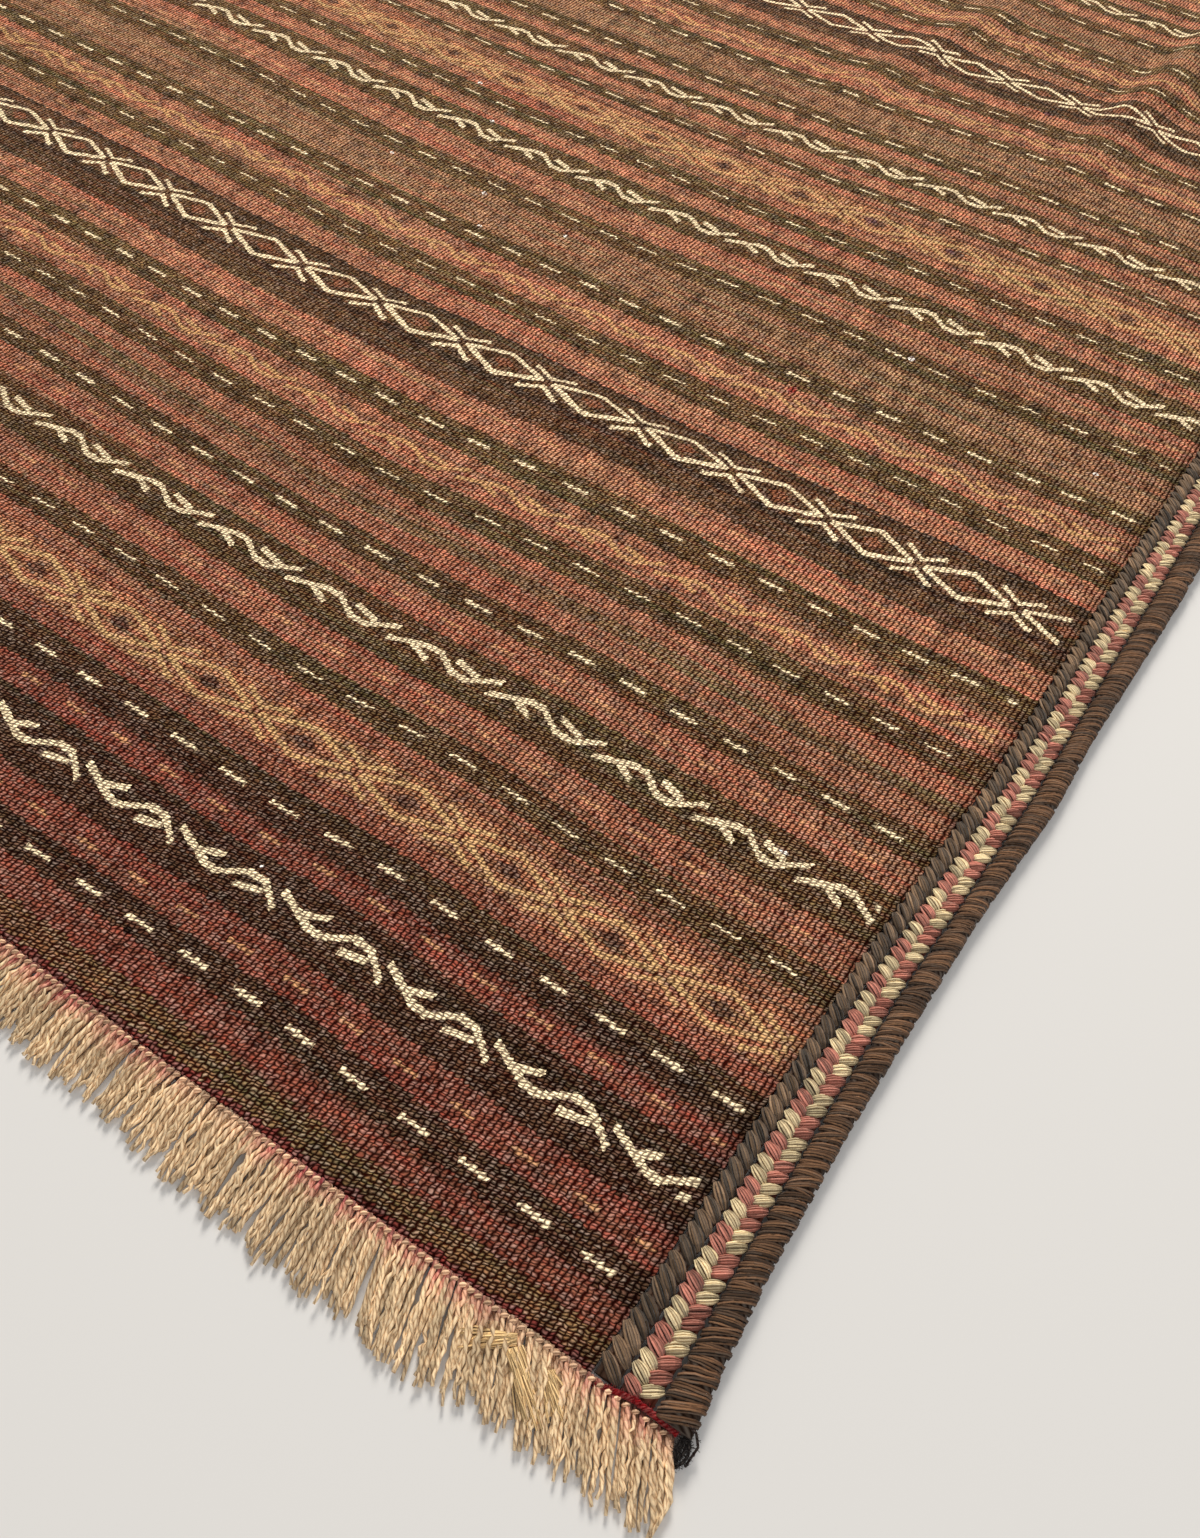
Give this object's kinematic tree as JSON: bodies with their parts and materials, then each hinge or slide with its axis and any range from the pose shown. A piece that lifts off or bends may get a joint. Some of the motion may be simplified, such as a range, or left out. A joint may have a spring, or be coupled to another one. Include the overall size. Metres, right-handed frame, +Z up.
{
  "type": "soumak rug",
  "caption": "Flatwoven soumak rug lying flat, with bands across, chevron side finish, wrapped edge cords, warp fringe at both ends and low ripples along the warp.",
  "frame": {"origin": "on the floor under the middle of the whole rug, fringes included", "axes": "+X along the weft, towards the side edge at the corner with the black tuft; +Y along the warp, away from that corner's fringed end; +Z up from the floor"},
  "size_m": [1.1102, 1.5744, 0.011],
  "materials": {
    "weave": "flatwoven wool in bands of maroon, rust, taupe and dark brown, with cream and yellow wrapped-weft rows",
    "overcast": "soft grey-brown wool yarn in slanted stitches",
    "chevron": "fat cream and dusty rose wool stitches in a chevron",
    "cord": "dark brown wool yarn wrapped round a cord",
    "fringe": "tan two-ply warp yarn, dyed pink at its roots in places",
    "red": "dark red wool yarn",
    "black": "black wool yarn"
  },
  "bodies": {
    "root": {"ground_cloth": "weave", "overcast_right": "overcast", "overcast_left": "overcast", "chevron_right": "chevron", "chevron_left": "chevron", "cord_right": "cord", "cord_left": "cord", "fringe_front": "fringe", "fringe_back": "fringe", "corner_binding_front_right": "red", "corner_binding_front_left": "red", "corner_binding_back_right": "red", "corner_binding_back_left": "red", "corner_knot": "black"}
  },
  "joints": []
}
